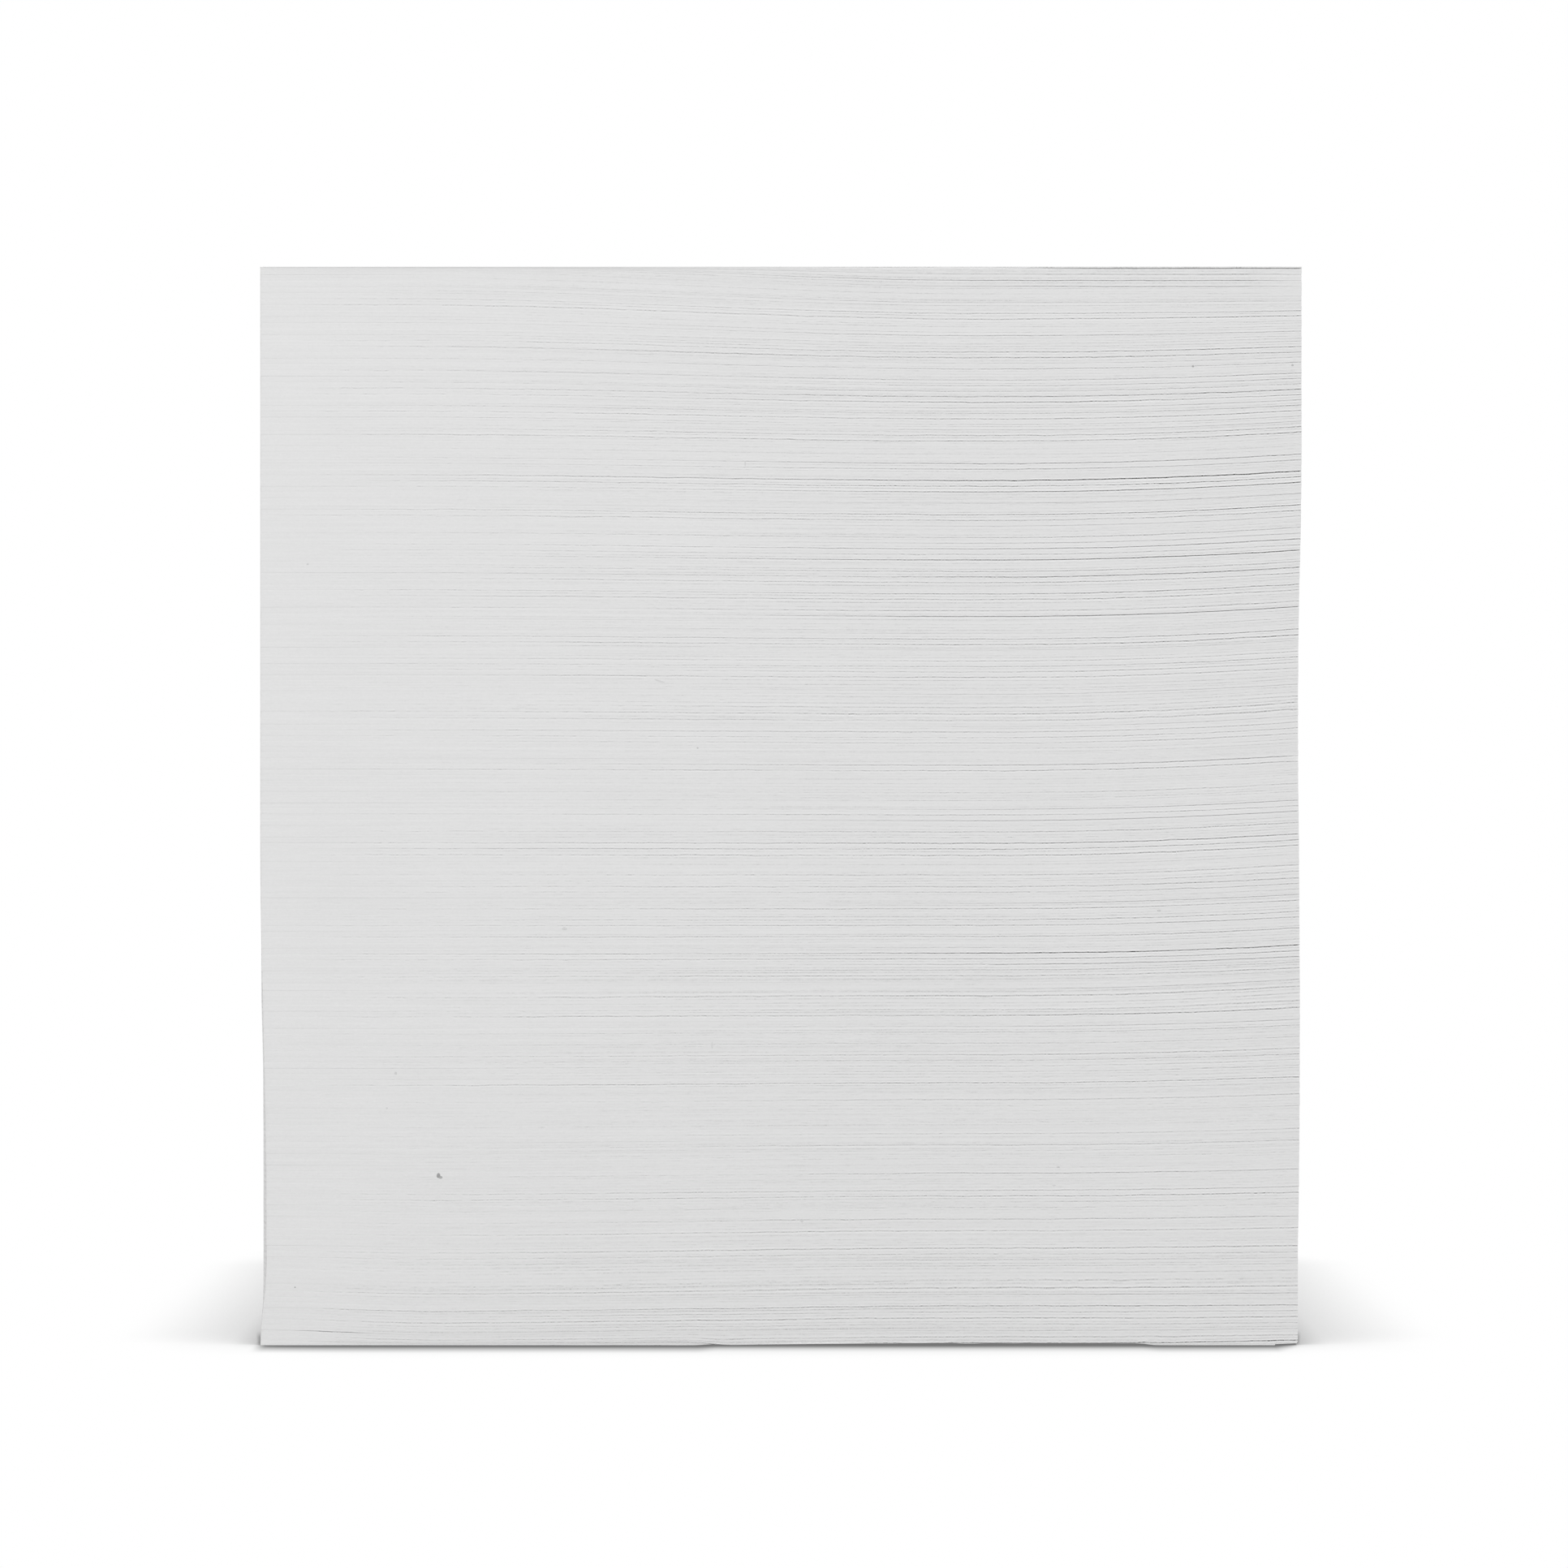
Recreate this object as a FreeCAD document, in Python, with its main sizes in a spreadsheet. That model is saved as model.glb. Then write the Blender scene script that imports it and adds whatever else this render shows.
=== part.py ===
"""Memo cube: a tall block of plain white sheets held together by padding glue along one side.

The block stands on its lowest sheet. Up is +Z, the sheet edges at the front look along -Y, the glued
side is -X and the loose side is +X. The origin is at the middle of the base.
"""
import FreeCAD, Part

import os

import Sketcher

# Driving sizes in millimetres: word, value, meaning. Each one can be changed by itself.
SIZES = [
    ("pad_width", 90.0, "glued side to loose side"),
    ("pad_depth", 90.0, "front to back"),
    ("pad_height", 93.2, "base to top sheet"),
    ("glue_film", 0.2, "thickness of the dried padding glue"),
    ("press_inset", 0.5, "how far the front corner of the glued side is pushed in"),
    ("press_height", 9.0, "height at which it is pushed in the most"),
    ("press_rise", 29.0, "from there up to where the corner is square again"),
    ("press_reach", 3.6, "how far back from the front the push fades out"),
    ("upright_stretch", 19.2, "length below the top over which the loose side is upright"),
    ("hollow_sag", 0.24, "sag of the shallow hollow under that stretch"),
    ("crest_height", 28.6, "height of the fuller place under the hollow"),
    ("crest_setback", 0.15, "how far the fuller place stands back"),
    ("foot_setback", 0.32, "how far the foot of the loose side stands back"),
    ("foot_round", 0.3, "rounding of the sheets there"),
    ("short_setback", 1.85, "how far the lowest sheets stop short of the foot"),
    ("short_height", 0.2, "thickness of those short sheets together"),
]

# The glued side of the whole pad, and of the sheets alone inside the glue.
GLUE_FACE = "-sizes.pad_width / 2"
SHEET_FACE = "-sizes.pad_width / 2 + sizes.glue_film"

CUTTER_MARGIN = 1.0
ROOT = -1


def make_sizes(doc):
    """The spreadsheet of driving sizes, one row each."""
    sheet = doc.addObject("Spreadsheet::Sheet", "sizes")
    for row, (word, value, meaning) in enumerate(SIZES, start=1):
        sheet.set(f"A{row}", word)
        sheet.set(f"B{row}", str(value))
        sheet.setAlias(f"B{row}", word)
        sheet.set(f"C{row}", meaning)
    doc.recompute()


def bulge_point(start, end, radius):
    """The middle of the arc of this radius that bulges to the right of the way from start to end."""
    chord = end - start
    half = chord.Length / 2
    rise = radius - (radius**2 - half**2) ** 0.5
    right = FreeCAD.Vector(chord.y, -chord.x, 0).normalize()
    return start + chord * 0.5 + right * rise


def add_curve(sketch, start, end, arc):
    """Draw one run of an outline, and tell which of its ends lie at start and at end (1 or 2).

    An arc is always drawn anticlockwise, so one that bulges inwards runs from end to start.
    """
    if arc is None:
        return sketch.addGeometry(Part.LineSegment(start, end), False), 1, 2
    radius = sketch.evalExpression(arc[0])
    if arc[1] == "outwards":
        curve = Part.Arc(start, bulge_point(start, end, radius), end)
        return sketch.addGeometry(curve, False), 1, 2
    curve = Part.Arc(end, bulge_point(end, start, radius), start)
    return sketch.addGeometry(curve, False), 2, 1


def bind(sketch, name, constraint, expression):
    """Add a named dimension to a sketch and bind it to an expression of the driving sizes."""
    index = sketch.addConstraint(constraint)
    sketch.renameConstraint(index, name)
    sketch.setExpression(f"Constraints.{name}", expression)


def draw_outline(sketch, corners, arcs):
    """Draw a closed outline whose corners and radii are bound to the driving sizes.

    corners holds (x, height) expressions, anticlockwise. arcs maps the number of a run, from a corner
    to the next, to its radius expression and whether it bulges outwards or inwards; others are straight.
    """
    places = [[sketch.evalExpression(text) for text in corner] for corner in corners]
    points = [FreeCAD.Vector(x, height, 0) for x, height in places]
    runs = []
    for number, start in enumerate(points):
        end = points[(number + 1) % len(points)]
        runs.append(add_curve(sketch, start, end, arcs.get(number)))
    for number, (curve, start_end, far_end) in enumerate(runs):
        following, following_start, _ = runs[(number + 1) % len(runs)]
        sketch.addConstraint(
            Sketcher.Constraint("Coincident", curve, far_end, following, following_start)
        )
        x, height = places[number]
        across = Sketcher.Constraint("DistanceX", ROOT, 1, curve, start_end, x)
        upward = Sketcher.Constraint("DistanceY", ROOT, 1, curve, start_end, height)
        bind(sketch, f"across_{number}", across, corners[number][0])
        bind(sketch, f"upward_{number}", upward, corners[number][1])
        if number in arcs:
            text = arcs[number][0]
            radius = Sketcher.Constraint("Radius", curve, sketch.evalExpression(text))
            bind(sketch, f"radius_{number}", radius, text)


def add_sketch(body, name, corners, arcs):
    """A sketch on the body's own XZ plane: its x runs along +X and its y runs up."""
    sketch = body.newObject("Sketcher::SketchObject", name)
    plane = next(p for p in body.Origin.OriginFeatures if p.Role == "XZ_Plane")
    sketch.AttachmentSupport = [(plane, "")]
    sketch.MapMode = "FlatFace"
    draw_outline(sketch, corners, arcs)
    return sketch


def chord_radius(length, sag):
    """The expression for the radius of an arc with this chord and this sag."""
    return f"({length}) ^ 2 / (8 * {sag}) + {sag} / 2"


def upright_end_radius(rise):
    """The expression for the radius of an arc that covers the push over this rise and ends upright."""
    return f"({rise} ^ 2 + sizes.press_inset ^ 2) / (2 * sizes.press_inset)"


def stack_outline():
    """Front outline of the sheets: square at the top, drifting inwards down the loose side.

    The lowest few sheets are short, so the outline steps up at the foot of the loose side.
    """
    loose = "sizes.pad_width / 2"
    straight_end = "sizes.pad_height - sizes.upright_stretch"
    foot = f"{loose} - sizes.foot_setback"
    short_end = f"{foot} - sizes.short_setback"
    corners = [
        (SHEET_FACE, "0"),
        (short_end, "0"),
        (short_end, "sizes.short_height"),
        (f"{foot} - sizes.foot_round", "sizes.short_height"),
        (foot, "sizes.short_height + sizes.foot_round"),
        (f"{loose} - sizes.crest_setback", "sizes.crest_height"),
        (loose, straight_end),
        (loose, "sizes.pad_height"),
        (SHEET_FACE, "sizes.pad_height"),
    ]
    hollow_chord = f"{straight_end} - sizes.crest_height"
    arcs = {
        3: ("sizes.foot_round", "outwards"),
        5: (chord_radius(hollow_chord, "sizes.hollow_sag"), "inwards"),
    }
    return corners, arcs


def glue_outline():
    """Front outline of the strip that holds the glue film, deep enough to reach into the sheets."""
    inner = f"{SHEET_FACE} + sizes.press_inset + {CUTTER_MARGIN}"
    corners = [
        (GLUE_FACE, "0"),
        (inner, "0"),
        (inner, "sizes.pad_height"),
        (GLUE_FACE, "sizes.pad_height"),
    ]
    return corners, {}


def press_outline(side_face):
    """Front outline of what the push takes off the corner: two arcs that meet where it is deepest."""
    outside = f"{side_face} - {CUTTER_MARGIN}"
    top = "sizes.press_height + sizes.press_rise"
    corners = [
        (outside, "0"),
        (side_face, "0"),
        (f"{side_face} + sizes.press_inset", "sizes.press_height"),
        (side_face, top),
        (outside, top),
    ]
    arcs = {
        1: (upright_end_radius("sizes.press_height"), "outwards"),
        2: (upright_end_radius("sizes.press_rise"), "outwards"),
    }
    return corners, arcs


def press_corner(body, side_face):
    """Push in the front corner of the glued side; the push slants out to nothing further back."""
    sketch = add_sketch(body, f"{body.Name}_press_outline", *press_outline(side_face))
    sketch.setExpression("AttachmentOffset.Base.z", "sizes.pad_depth / 2")
    pocket = body.newObject("PartDesign::Pocket", f"{body.Name}_press")
    pocket.Profile = sketch
    pocket.UseCustomVector = True
    pocket.AlongSketchNormal = True
    pocket.setExpression("Direction.x", "-sizes.press_inset")
    pocket.setExpression("Direction.y", "sizes.press_reach")
    pocket.setExpression("Direction.z", "0")
    pocket.setExpression("Length", "sizes.press_reach")


def build_block(doc, name, outline, side_face):
    """A block as deep as the pad with this front outline and the pushed-in corner."""
    body = doc.addObject("PartDesign::Body", name)
    body.Label = name
    sketch = add_sketch(body, f"{name}_outline", *outline)
    pad = body.newObject("PartDesign::Pad", f"{name}_depth")
    pad.Profile = sketch
    pad.Midplane = True
    pad.setExpression("Length", "sizes.pad_depth")
    doc.recompute()
    press_corner(body, side_face)
    body.Placement = FreeCAD.Placement()
    doc.recompute()
    return body


def build_sheet_block(doc):
    """All the sheets together, as the one solid they form when the pad is closed."""
    return build_block(doc, "sheet_block", stack_outline(), SHEET_FACE)


def build_padding_glue(doc, sheet_block):
    """The film of padding glue: it follows the glued side of the sheets face to face."""
    strip = build_block(doc, "glue_strip", glue_outline(), GLUE_FACE)
    film = doc.addObject("Part::Cut", "padding_glue")
    film.Label = "padding_glue"
    film.Base = strip
    film.Tool = sheet_block
    film.Placement = FreeCAD.Placement()
    doc.recompute()
    return film


def check_document(doc, pieces):
    """Stop with a plain message if a feature failed or a piece is not one valid solid."""
    for item in doc.Objects:
        if "Invalid" in item.State or "Error" in item.State:
            raise RuntimeError(f"{item.Label} failed: {item.State}")
    for piece in pieces:
        shape = piece.Shape
        if shape.isNull() or not shape.isValid() or len(shape.Solids) != 1:
            raise RuntimeError(f"{piece.Label} is not one valid solid")


def main():
    """Build both pieces, check them and write one STEP file each."""
    doc = FreeCAD.newDocument("memo_cube")
    make_sizes(doc)
    sheet_block = build_sheet_block(doc)
    padding_glue = build_padding_glue(doc, sheet_block)
    pieces = [sheet_block, padding_glue]
    check_document(doc, pieces)
    os.makedirs("parts", exist_ok=True)
    for piece in pieces:
        piece.Shape.exportStep(f"parts/{piece.Label}.step")
        box = piece.Shape.optimalBoundingBox()
        print(f"{piece.Label}: {piece.Shape.Volume:.2f} mm3, {box}")


main()
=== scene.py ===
"""Memo cube: the looks of a tall block of plain white sheets, glued down one side and loose at the other.

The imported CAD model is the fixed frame. Its two solids are replaced by pieces with the detail of the real
block: every sheet as a thin slab of its own, the top sheet, the dried skin of padding glue, and the few
flecks caught in the cut edges. Sizes in the classes are in millimetres unless they say otherwise.
"""

import logging
import math
from dataclasses import dataclass
from enum import Enum
from typing import Any, ClassVar

import bpy
import numpy as np
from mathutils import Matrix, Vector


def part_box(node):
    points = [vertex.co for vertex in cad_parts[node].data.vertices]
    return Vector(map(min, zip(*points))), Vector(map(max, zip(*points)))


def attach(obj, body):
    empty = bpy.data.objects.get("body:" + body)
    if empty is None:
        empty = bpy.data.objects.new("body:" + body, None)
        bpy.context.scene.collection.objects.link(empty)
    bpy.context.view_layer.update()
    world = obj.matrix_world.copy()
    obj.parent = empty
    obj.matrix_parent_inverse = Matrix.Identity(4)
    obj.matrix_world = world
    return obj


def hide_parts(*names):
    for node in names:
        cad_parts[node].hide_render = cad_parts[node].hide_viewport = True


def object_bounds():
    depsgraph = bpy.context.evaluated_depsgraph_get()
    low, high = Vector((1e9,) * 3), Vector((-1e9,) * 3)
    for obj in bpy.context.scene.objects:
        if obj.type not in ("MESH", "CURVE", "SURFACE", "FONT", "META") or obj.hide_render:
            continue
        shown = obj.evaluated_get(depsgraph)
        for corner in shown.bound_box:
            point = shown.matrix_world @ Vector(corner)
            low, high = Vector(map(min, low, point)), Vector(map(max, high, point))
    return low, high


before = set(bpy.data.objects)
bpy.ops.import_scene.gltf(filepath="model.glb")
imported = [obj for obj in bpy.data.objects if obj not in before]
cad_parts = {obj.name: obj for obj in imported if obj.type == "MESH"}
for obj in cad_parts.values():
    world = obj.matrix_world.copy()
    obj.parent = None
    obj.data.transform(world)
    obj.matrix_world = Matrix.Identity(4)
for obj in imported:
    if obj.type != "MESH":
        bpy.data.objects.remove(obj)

# Short names for types.
Array = np.ndarray
Piece = bpy.types.Object
Material = bpy.types.Material
Pair = tuple[float, float]
Triple = tuple[float, float, float]

MM = 0.001
SIZE_DIGITS = 4
CAD_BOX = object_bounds()
SHEET_ATTRIBUTE = "sheet_line"
LIFT_ATTRIBUTE = "lift_opening"
LINE_ATTRIBUTE = "line_opening"
TONE_ATTRIBUTE = "fleck_tone"

# How many sheets lie between two of the dark lines, and how far a wave runs on for each step back along y.
SHEETS_IN_LIFT = 5
SIDE_RUN = 2.3

# How near a side a point is on it, the least length of a slab's long edges, and the least upward part of
# the normal of a flat face.
ON_SIDE = 1e-3
LONG_EDGE = 1.0
FLAT_FACE = 0.7

# Numbers that mix the cell, the lane and the seed of the dice, and spread their sine out.
DICE_TURNS = (12.9898, 78.233, 37.719)
DICE_SPREAD = 43758.5453

X, Y, Z = range(3)

# The usual span of a noise texture, a tighter one, and how far apart the noises of two sheets are read.
NOISE_SPAN = (0.25, 0.75)
NOISE_CORE = (0.30, 0.70)
LANE_APART = 3.7
WHITE = (1.0, 1.0, 1.0, 1.0)

log = logging.getLogger("memo_cube")


class Slot(Enum):
    """The material slots of the record."""

    PAPER = "white_paper"
    GLUE = "dried_glue"


class Fade(Enum):
    """The ways in which a mapped value goes from one end to the other."""

    EVEN = "LINEAR"
    SMOOTH = "SMOOTHSTEP"


# --- Random numbers and smooth steps ---


def ease(share: Array) -> Array:
    """Smooth step from 0 to 1, flat at both ends, for values that run from 0 to 1 over the step."""
    held = np.clip(share, 0.0, 1.0)
    return held * held * (3.0 - 2.0 * held)


def beyond(share: Array, start: float) -> Array:
    """How much of the way from a start to 1 a share has gone, from 0 to 1."""
    return np.clip((share - start) / (1.0 - start), 0.0, 1.0)


def dice(cell: Array, lane: Array | float, seed: float) -> Array:
    """Repeatable dice: one even number from 0 to 1 for each whole-numbered cell of each lane."""
    turn = sum(number * each for number, each in zip((cell, lane, seed), DICE_TURNS))
    return np.mod(np.sin(turn) * DICE_SPREAD, 1.0)


@dataclass(frozen=True)
class Ramp:
    """A smooth step from 0 to 1 that begins at a start and takes a run; a run below 0 goes the other way."""

    start: float
    run: float

    def at(self, place: Array) -> Array:
        """How far the step has come at a place."""
        return ease((place - self.start) / self.run)


@dataclass(frozen=True)
class Wave:
    """A smooth random wave: how far it swings to either side, how long it is, and the seed of its dice."""

    swing: float
    length: float
    seed: float

    def at(self, run: Array, lane: Array | float = 0.0) -> Array:
        """Height of the wave.

        Args:
            run: Place along the lane.
            lane: Whole numbers that tell the lanes apart.

        Returns:
            Values from -swing to swing.
        """
        place = run / self.length
        cell = np.floor(place)
        first = dice(cell, lane, self.seed)
        last = dice(cell + 1.0, lane, self.seed)
        return self.swing * (2.0 * (first + (last - first) * ease(place - cell)) - 1.0)


@dataclass(frozen=True)
class Draw:
    """How a throw of the dice becomes a size: the least, how much more there can be, and how rarely."""

    least: float
    more: float
    power: float

    def of(self, throw: Array) -> Array:
        """The size for each throw."""
        return self.least + self.more * throw ** self.power


# --- Modelling ---


def drop_selection() -> None:
    """Deselect every object, in object mode."""
    if bpy.context.object is not None and bpy.context.object.mode != "OBJECT":
        bpy.ops.object.mode_set(mode="OBJECT")
    bpy.ops.object.select_all(action="DESELECT")


def pick(*pieces: Piece) -> None:
    """Make some objects the only selected ones, and the first of them the active one.

    Args:
        *pieces: The objects.
    """
    drop_selection()
    for piece in pieces:
        piece.select_set(True)
    bpy.context.view_layer.objects.active = pieces[0]


def settle(piece: Piece, name: str) -> Piece:
    """Put a new object's place, turn and size into its mesh, and name it.

    Args:
        piece: The object to finish.
        name: Its new name, also given to its mesh.

    Returns:
        The same object, at the origin.
    """
    pick(piece)
    bpy.ops.object.transform_apply(location=True, rotation=True, scale=True)
    piece.name = name
    piece.data.name = name
    return piece


def add_slab(name: str, low: Triple, high: Triple) -> Piece:
    """Add a plain slab.

    Args:
        name: Its name.
        low: Its corner with the least x, y and z.
        high: Its opposite corner.

    Returns:
        The slab.
    """
    drop_selection()
    bpy.ops.mesh.primitive_cube_add(size=1.0, location=[(a + b) / 2.0 * MM for a, b in zip(low, high)],
                                    scale=[(b - a) * MM for a, b in zip(low, high)])
    return settle(bpy.context.object, name)


def vertex_places(mesh: bpy.types.Mesh) -> Array:
    """Read a mesh's vertices.

    Args:
        mesh: The mesh.

    Returns:
        Rows of x, y and z in millimetres.
    """
    flat = np.empty(len(mesh.vertices) * 3, dtype=np.float32)
    mesh.vertices.foreach_get("co", flat)
    return flat.reshape(-1, 3).astype(np.float64) / MM


def place_vertices(mesh: bpy.types.Mesh, *places: Array) -> None:
    """Move a mesh's vertices to x, y and z in millimetres."""
    mesh.vertices.foreach_set("co", (np.column_stack(places) * MM).astype(np.float32).ravel())
    mesh.update()


def mark_vertices(mesh: bpy.types.Mesh, name: str, values: Array) -> None:
    """Keep one number on each vertex, for the material to read."""
    kept = mesh.attributes.new(name, "FLOAT", "POINT")
    kept.data.foreach_set("value", values.astype(np.float32))


def cut_edges(piece: Piece, axis: int, cuts: int, span: Pair | None = None) -> None:
    """Divide the long edges of a slab that run along an axis.

    Args:
        piece: The slab.
        axis: The axis.
        cuts: How many points each edge gets.
        span: The least and greatest x between which an edge counts, or None for all of them.
    """
    ends = vertex_places(piece.data)[np.array([edge.vertices[:] for edge in piece.data.edges])]
    wanted = np.abs(ends[:, 0, axis] - ends[:, 1, axis]) > LONG_EDGE
    if span is not None:
        wanted &= np.all((ends[:, :, X] > span[0]) & (ends[:, :, X] < span[1]), axis=1)
    pick(piece)
    bpy.ops.object.mode_set(mode="EDIT")
    bpy.ops.mesh.select_mode(type="EDGE")
    bpy.ops.mesh.select_all(action="DESELECT")
    bpy.ops.object.mode_set(mode="OBJECT")
    piece.data.edges.foreach_set("select", wanted)
    bpy.ops.object.mode_set(mode="EDIT")
    bpy.ops.mesh.subdivide(number_cuts=cuts)
    bpy.ops.object.mode_set(mode="OBJECT")


def finish_paper(mesh: bpy.types.Mesh, edge: Material, face: Material) -> None:
    """Give the cut edges of sheets one finish and their flat faces another.

    Args:
        mesh: The sheets.
        edge: Finish of the cut edges.
        face: Finish of the flat faces.
    """
    mesh.materials.append(edge)
    mesh.materials.append(face)
    normals = np.empty(len(mesh.polygons) * 3, dtype=np.float32)
    mesh.polygons.foreach_get("normal", normals)
    is_flat = np.abs(normals.reshape(-1, 3)[:, Z]) > FLAT_FACE
    mesh.polygons.foreach_set("material_index", is_flat.astype(np.int32))
    mesh.update()


# --- Materials ---


@dataclass
class Signal:
    """A node's output, which is reckoned with like a number: each sum or product adds a Math node."""

    board: "NodeBoard"
    socket: bpy.types.NodeSocket

    def __add__(self, other: "Signal | float") -> "Signal":
        """This output plus another, or plus a number."""
        return self.board.math("ADD", self, other)

    def __radd__(self, other: float) -> "Signal":
        """A number plus this output."""
        return self.board.math("ADD", other, self)

    def __sub__(self, other: "Signal | float") -> "Signal":
        """This output less another, or less a number."""
        return self.board.math("SUBTRACT", self, other)

    def __rsub__(self, other: float) -> "Signal":
        """A number less this output."""
        return self.board.math("SUBTRACT", other, self)

    def __mul__(self, other: "Signal | float") -> "Signal":
        """This output times another, or times a number."""
        return self.board.math("MULTIPLY", self, other)

    def __truediv__(self, other: float) -> "Signal":
        """This output divided by a number."""
        return self.board.math("DIVIDE", self, other)


@dataclass(frozen=True)
class Grain:
    """A random grain: waves a metre, octaves, how much the finer ones count, and a stretch for each axis."""

    waves: float
    detail: float
    rough: float
    stretch: Triple = (1.0, 1.0, 1.0)


class NodeBoard:
    """A node tree that is laid out one node at a time."""

    def __init__(self, tree: bpy.types.NodeTree) -> None:
        """Clear the tree and keep it."""
        self.tree = tree
        self.tree.nodes.clear()

    def add(self, kind: str, settings: dict[str, Any] | None = None, inputs: dict[Any, Any] | None = None,
            output: str | int = 0) -> Signal | None:
        """Add a node.

        Args:
            kind: The node's Blender type name, without "ShaderNode".
            settings: Properties of the node.
            inputs: A value or another node's output for each input, by name or number.
            output: The output that is wanted.

        Returns:
            That output, or None for a node without outputs.
        """
        node = self.tree.nodes.new(f"ShaderNode{kind}")
        for name, value in (settings or {}).items():
            setattr(node, name, value)
        for name, value in (inputs or {}).items():
            if isinstance(value, Signal):
                self.tree.links.new(value.socket, node.inputs[name])
            else:
                node.inputs[name].default_value = value
        return Signal(self, node.outputs[output]) if node.outputs else None

    def math(self, operation: str, *values: Signal | float) -> Signal:
        """Add a Math node with these inputs in order."""
        return self.add("Math", {"operation": operation}, dict(enumerate(values)))

    def fit(self, value: Signal, span: Pair, result: Pair, shape: Fade = Fade.EVEN) -> Signal:
        """Add a clamped Map Range node.

        Args:
            value: The output to map.
            span: The input's two ends.
            result: What they become.
            shape: How it goes from one to the other.

        Returns:
            The mapped output.
        """
        ends = {"Value": value, "From Min": span[0], "From Max": span[1],
                "To Min": result[0], "To Max": result[1]}
        return self.add("MapRange", {"interpolation_type": shape.value, "clamp": True}, ends, "Result")

    def spread(self, noise: Signal, middle: float, swing: float, span: Pair = NOISE_SPAN) -> Signal:
        """Map a noise to values that swing to both sides of a middle."""
        return self.fit(noise, span, (middle - swing, middle + swing))

    def place(self) -> Signal:
        """The place in the object."""
        return self.add("TexCoord", output="Object")

    def along(self, axis: str) -> Signal:
        """The place along one axis, in millimetres."""
        return self.add("SeparateXYZ", {}, {0: self.place()}, axis) / MM

    def kept(self, name: str) -> Signal:
        """The number kept on the vertices under a name."""
        return self.add("Attribute", {"attribute_name": name}, output="Fac")

    def vector(self, operation: str, first: Signal, second: Any) -> Signal:
        """Add a Vector Math node."""
        return self.add("VectorMath", {"operation": operation}, {0: first, 1: second})

    def noise(self, grain: Grain) -> Signal:
        """A grain all through the object, about 0 to 1 around 0.5."""
        return self.texture(self.vector("MULTIPLY", self.place(), grain.stretch), grain.waves, grain)

    def edge_noise(self, number: Signal, grain: Grain) -> Signal:
        """A grain along a sheet's edge, which differs from that of every other sheet.

        Args:
            number: Number of the sheet or line.
            grain: The grain.

        Returns:
            Its value, about 0 to 1 around 0.5.
        """
        apart = self.add("CombineXYZ", {}, {"Z": number * LANE_APART})
        along = self.vector("MULTIPLY", self.place(), (grain.waves, grain.waves, 0.0))
        return self.texture(self.vector("ADD", along, apart), 1.0, grain)

    def texture(self, place: Signal, scale: float, grain: Grain) -> Signal:
        """Add a Noise Texture node with a grain's octaves."""
        wanted = {"Vector": place, "Scale": scale, "Detail": grain.detail, "Roughness": grain.rough}
        return self.add("TexNoise", {}, wanted, "Fac")

    def bump(self, height: Signal, strength: float, depth: float) -> Signal:
        """Add a Bump node; depth is in millimetres."""
        return self.add("Bump", {}, {"Height": height, "Strength": strength, "Distance": depth * MM})

    def solid(self, level: Signal, roughness: float, specular: float, bump: Signal | None = None) -> Signal:
        """Add the shader of a plain grey solid.

        Args:
            level: How pale it is.
            roughness: Its roughness.
            specular: Its specular level.
            bump: Its bump, where it has one.

        Returns:
            The shader.
        """
        inputs = {"Base Color": self.add("CombineColor", {}, {0: level, 1: level, 2: level}),
                  "Roughness": roughness, "Specular IOR Level": specular}
        if bump is not None:
            inputs["Normal"] = bump
        return self.add("BsdfPrincipled", {}, inputs)

    def seen_or_lighting(self, seen: Signal, lighting: Signal) -> Signal:
        """Use one shader where the camera, a gloss or glass looks at a surface, and another for its light.

        Args:
            seen: The shader that is looked at.
            lighting: The shader that lights the object.

        Returns:
            The two together.
        """
        camera, glossy, glass = (self.add("LightPath", output=f"Is {ray} Ray")
                                 for ray in ("Camera", "Glossy", "Transmission"))
        direct = self.math("MINIMUM", camera + glossy + glass, 1.0)
        return self.add("MixShader", {}, {0: direct, 1: lighting, 2: seen})


class Finish:
    """A material that lays out its own nodes."""

    name: ClassVar[str]

    def material(self) -> Material:
        """Make the material.

        Returns:
            The material.
        """
        made = bpy.data.materials.new(self.name)
        made.use_nodes = True
        board = NodeBoard(made.node_tree)
        board.add("OutputMaterial", {}, {"Surface": self.surface(board)})
        return made

    def surface(self, board: NodeBoard) -> Signal:
        """Lay out the nodes, up to the shader."""
        raise NotImplementedError


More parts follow.
